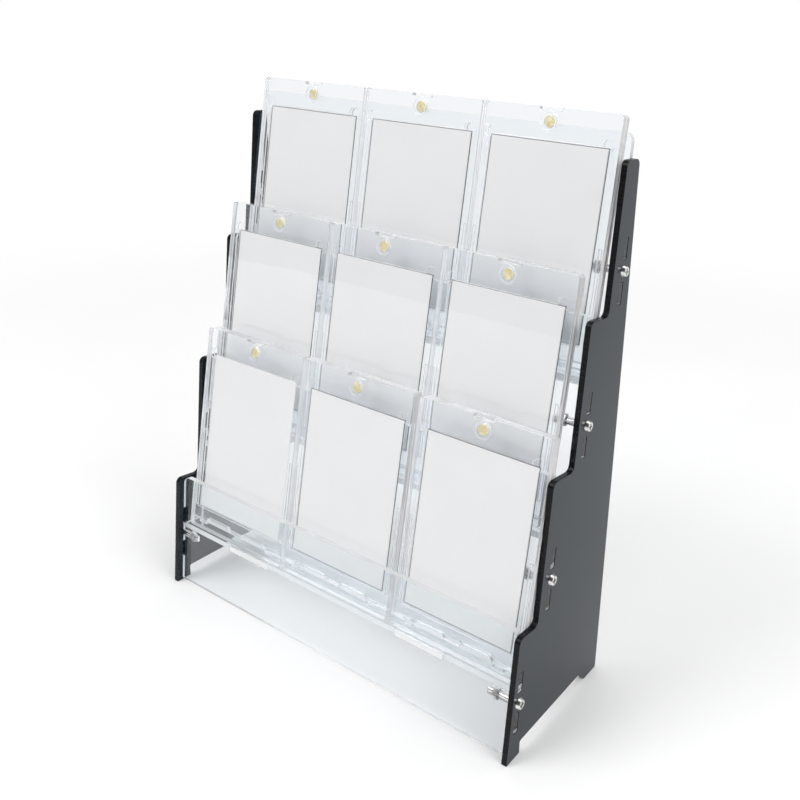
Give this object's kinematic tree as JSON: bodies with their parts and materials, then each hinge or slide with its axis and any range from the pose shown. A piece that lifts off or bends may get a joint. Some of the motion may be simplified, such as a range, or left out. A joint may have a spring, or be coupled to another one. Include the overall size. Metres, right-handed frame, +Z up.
{
  "type": "trading card display case",
  "caption": "Stepped display case: dark side panels, clear leaning tiers with lips and shelves, and rows of clear magnetic card holders that lift out and tip open.",
  "frame": {"origin": "on the ground, under the middle of the stand's base", "axes": "+X to the right seen from the front, +Y to the back, +Z up; the holders face -Y"},
  "size_m": [0.2408, 0.084, 0.2882],
  "materials": {
    "dark_acrylic": "polished black acrylic sheet",
    "clear_sheet": "polished clear acrylic sheet",
    "clear_shell": "moulded clear plastic",
    "screw_metal": "nickel-plated steel",
    "nut_metal": "zinc-plated steel",
    "magnet_plating": "pale gold plating",
    "disc_steel": "plain steel disc",
    "card_blank": "blank satin card"
  },
  "bodies": {
    "stand": {"left_side_panel": "dark_acrylic", "right_side_panel": "dark_acrylic", "front_panel": "clear_sheet", "lower_cross_panel": "clear_sheet", "upper_cross_panel": "clear_sheet", "back_panel": "clear_sheet", "lower_shelf": "clear_sheet", "middle_shelf": "clear_sheet", "upper_shelf": "clear_sheet", "left_screws": "screw_metal", "right_screws": "screw_metal", "left_nuts": "nut_metal", "right_nuts": "nut_metal"},
    "bottom_left_holder": {"bottom_left_back_shell": "clear_shell", "bottom_left_steel_disc": "disc_steel", "bottom_left_card": "card_blank"},
    "bottom_left_cover": {"bottom_left_front_shell": "clear_shell", "bottom_left_magnet": "magnet_plating"},
    "bottom_centre_holder": {"bottom_centre_back_shell": "clear_shell", "bottom_centre_steel_disc": "disc_steel", "bottom_centre_card": "card_blank"},
    "bottom_centre_cover": {"bottom_centre_front_shell": "clear_shell", "bottom_centre_magnet": "magnet_plating"},
    "bottom_right_holder": {"bottom_right_back_shell": "clear_shell", "bottom_right_steel_disc": "disc_steel", "bottom_right_card": "card_blank"},
    "bottom_right_cover": {"bottom_right_front_shell": "clear_shell", "bottom_right_magnet": "magnet_plating"},
    "middle_left_holder": {"middle_left_back_shell": "clear_shell", "middle_left_steel_disc": "disc_steel", "middle_left_card": "card_blank"},
    "middle_left_cover": {"middle_left_front_shell": "clear_shell", "middle_left_magnet": "magnet_plating"},
    "middle_centre_holder": {"middle_centre_back_shell": "clear_shell", "middle_centre_steel_disc": "disc_steel", "middle_centre_card": "card_blank"},
    "middle_centre_cover": {"middle_centre_front_shell": "clear_shell", "middle_centre_magnet": "magnet_plating"},
    "middle_right_holder": {"middle_right_back_shell": "clear_shell", "middle_right_steel_disc": "disc_steel", "middle_right_card": "card_blank"},
    "middle_right_cover": {"middle_right_front_shell": "clear_shell", "middle_right_magnet": "magnet_plating"},
    "top_left_holder": {"top_left_back_shell": "clear_shell", "top_left_steel_disc": "disc_steel", "top_left_card": "card_blank"},
    "top_left_cover": {"top_left_front_shell": "clear_shell", "top_left_magnet": "magnet_plating"},
    "top_centre_holder": {"top_centre_back_shell": "clear_shell", "top_centre_steel_disc": "disc_steel", "top_centre_card": "card_blank"},
    "top_centre_cover": {"top_centre_front_shell": "clear_shell", "top_centre_magnet": "magnet_plating"},
    "top_right_holder": {"top_right_back_shell": "clear_shell", "top_right_steel_disc": "disc_steel", "top_right_card": "card_blank"},
    "top_right_cover": {"top_right_front_shell": "clear_shell", "top_right_magnet": "magnet_plating"}
  },
  "joints": [
    {"name": "bottom_left_lift", "type": "slide", "parent": "stand", "child": "bottom_left_holder", "axis": [0, 0.0906, 0.9959], "range_m": [0, 0.12]},
    {"name": "bottom_left_open", "type": "hinge", "parent": "bottom_left_holder", "child": "bottom_left_cover", "pos_m": [-0.0746, -0.03106, 0.04233], "axis": [1, 0, 0], "range_deg": [0, 5]},
    {"name": "bottom_centre_lift", "type": "slide", "parent": "stand", "child": "bottom_centre_holder", "axis": [0, 0.0906, 0.9959], "range_m": [0, 0.12]},
    {"name": "bottom_centre_open", "type": "hinge", "parent": "bottom_centre_holder", "child": "bottom_centre_cover", "pos_m": [0.0003, -0.03106, 0.04233], "axis": [1, 0, 0], "range_deg": [0, 5]},
    {"name": "bottom_right_lift", "type": "slide", "parent": "stand", "child": "bottom_right_holder", "axis": [0, 0.0906, 0.9959], "range_m": [0, 0.12]},
    {"name": "bottom_right_open", "type": "hinge", "parent": "bottom_right_holder", "child": "bottom_right_cover", "pos_m": [0.0779, -0.03106, 0.04233], "axis": [1, 0, 0], "range_deg": [0, 5]},
    {"name": "middle_left_lift", "type": "slide", "parent": "stand", "child": "middle_left_holder", "axis": [0, 0.0906, 0.9959], "range_m": [0, 0.12]},
    {"name": "middle_left_open", "type": "hinge", "parent": "middle_left_holder", "child": "middle_left_cover", "pos_m": [-0.0779, -0.0075, 0.11027], "axis": [1, 0, 0], "range_deg": [0, 5]},
    {"name": "middle_centre_lift", "type": "slide", "parent": "stand", "child": "middle_centre_holder", "axis": [0, 0.0906, 0.9959], "range_m": [0, 0.12]},
    {"name": "middle_centre_open", "type": "hinge", "parent": "middle_centre_holder", "child": "middle_centre_cover", "pos_m": [-0.003, -0.0075, 0.11027], "axis": [1, 0, 0], "range_deg": [0, 5]},
    {"name": "middle_right_lift", "type": "slide", "parent": "stand", "child": "middle_right_holder", "axis": [0, 0.0906, 0.9959], "range_m": [0, 0.12]},
    {"name": "middle_right_open", "type": "hinge", "parent": "middle_right_holder", "child": "middle_right_cover", "pos_m": [0.072, -0.0075, 0.11027], "axis": [1, 0, 0], "range_deg": [0, 5]},
    {"name": "top_left_lift", "type": "slide", "parent": "stand", "child": "top_left_holder", "axis": [0, 0.0906, 0.9959], "range_m": [0, 0.12]},
    {"name": "top_left_open", "type": "hinge", "parent": "top_left_holder", "child": "top_left_cover", "pos_m": [-0.074, 0.016, 0.17818], "axis": [1, 0, 0], "range_deg": [0, 4.5]},
    {"name": "top_centre_lift", "type": "slide", "parent": "stand", "child": "top_centre_holder", "axis": [0, 0.0906, 0.9959], "range_m": [0, 0.12]},
    {"name": "top_centre_open", "type": "hinge", "parent": "top_centre_holder", "child": "top_centre_cover", "pos_m": [0.0009, 0.016, 0.17818], "axis": [1, 0, 0], "range_deg": [0, 4.5]},
    {"name": "top_right_lift", "type": "slide", "parent": "stand", "child": "top_right_holder", "axis": [0, 0.0906, 0.9959], "range_m": [0, 0.12]},
    {"name": "top_right_open", "type": "hinge", "parent": "top_right_holder", "child": "top_right_cover", "pos_m": [0.0758, 0.016, 0.17818], "axis": [1, 0, 0], "range_deg": [0, 4.5]}
  ]
}
